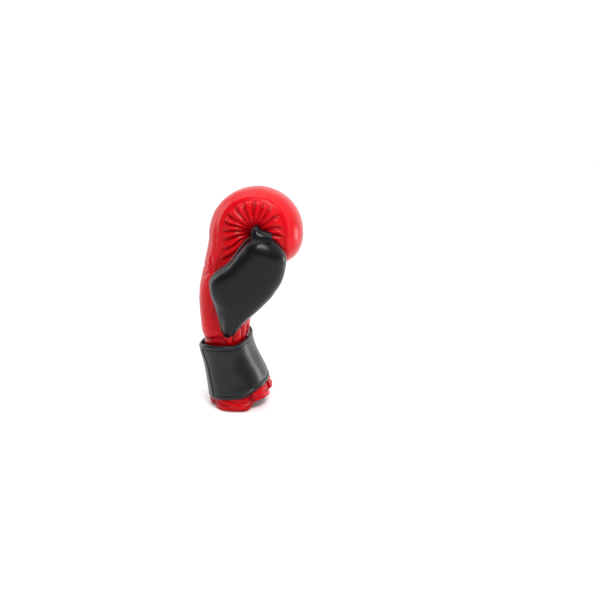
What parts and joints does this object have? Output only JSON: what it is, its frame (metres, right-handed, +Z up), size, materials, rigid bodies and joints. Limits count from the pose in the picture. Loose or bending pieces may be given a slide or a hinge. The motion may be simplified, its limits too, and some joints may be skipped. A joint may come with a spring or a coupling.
{
  "type": "boxing glove",
  "caption": "Padded left-hand boxing glove with curled fist, separate thumb lobe and a hook-and-loop wrist strap round its slit cuff.",
  "frame": {"origin": "centre of the hand opening, on the plane of the hem that the glove stands on", "axes": "+Z up from the hem towards the knuckles, +X the way the palm faces, -Y towards the thumb's side"},
  "size_m": [0.1312, 0.1342, 0.2778],
  "materials": {
    "red_leather": "glossy coated leather",
    "black_leather": "satin coated leather",
    "strap_leather": "satin, fine grained",
    "webbing": "matte hook, loop and elastic cloth",
    "lining_cloth": "smooth woven cloth",
    "foam": "matte closed-cell foam"
  },
  "bodies": {
    "cuff": {"cuff_back_leather": "red_leather", "cuff_thumb_flap_leather": "red_leather", "cuff_little_flap_leather": "red_leather", "cuff_back_pad": "foam", "cuff_thumb_flap_pad": "foam", "cuff_little_flap_pad": "foam", "cuff_lining": "lining_cloth", "hem_binding": "red_leather", "slit_gusset": "webbing", "loop_panel": "webbing", "strap_facing_root": "strap_leather", "strap_backing_root": "webbing", "strap_lower_binding_root": "strap_leather", "strap_upper_binding_root": "strap_leather"},
    "hand": {"back_leather": "red_leather", "palm_leather": "red_leather", "finger_leather": "red_leather", "fingertip_leather": "red_leather", "back_pad": "foam", "knuckle_pad_outer": "foam", "knuckle_pad_inner": "foam", "finger_pad": "foam", "fist_thumb_side_pad": "foam", "fist_little_side_pad": "foam", "palm_pad": "foam", "finger_grip_pad": "foam", "fingertip_pad": "foam", "hand_lining": "lining_cloth"},
    "thumb": {"thumb_outer_leather": "black_leather", "thumb_inner_leather": "black_leather", "thumb_pad": "foam", "thumb_lining": "lining_cloth", "thumb_tab": "black_leather"},
    "strap_palm": {"strap_facing_palm": "strap_leather", "strap_backing_palm": "webbing", "strap_lower_binding_palm": "strap_leather", "strap_upper_binding_palm": "strap_leather"},
    "strap_thumb": {"strap_facing_thumb": "strap_leather", "strap_backing_thumb": "webbing", "strap_lower_binding_thumb": "strap_leather", "strap_upper_binding_thumb": "strap_leather"},
    "strap_back": {"strap_facing_back": "strap_leather", "strap_backing_back": "webbing", "strap_lower_binding_back": "strap_leather", "strap_upper_binding_back": "strap_leather", "strap_end_binding": "strap_leather", "hook_panel": "webbing"}
  },
  "joints": [
    {"name": "wrist_flex", "type": "hinge", "parent": "cuff", "child": "hand", "pos_m": [-0.0175, 0, 0.106], "axis": [0, 1, 0], "range_deg": [-8, 8], "stiffness_Nm_per_rad": 5},
    {"name": "thumb_flex", "type": "hinge", "parent": "hand", "child": "thumb", "pos_m": [-0.0115, -0.042, 0.101], "axis": [0.9366, 0, -0.3503], "range_deg": [0, 6], "stiffness_Nm_per_rad": 1},
    {"name": "strap_bend_palm", "type": "hinge", "parent": "cuff", "child": "strap_palm", "pos_m": [0.0194, 0.0274, 0.0566], "axis": [-0.3125, -0.0306, 0.9494], "range_deg": [0, 45]},
    {"name": "strap_bend_thumb", "type": "hinge", "parent": "strap_palm", "child": "strap_thumb", "pos_m": [0.0155, -0.0338, 0.0559], "axis": [-0.2995, 0.0437, 0.9531], "range_deg": [0, 75]},
    {"name": "strap_bend_back", "type": "hinge", "parent": "strap_thumb", "child": "strap_back", "pos_m": [-0.0358, -0.0368, 0.048], "axis": [-0.1573, 0.0516, 0.9862], "range_deg": [0, 80]}
  ],
  "couplings": [
    {"joint": "strap_bend_thumb", "follows": "strap_bend_palm", "ratio": 1.6666},
    {"joint": "strap_bend_back", "follows": "strap_bend_palm", "ratio": 1.7777}
  ]
}
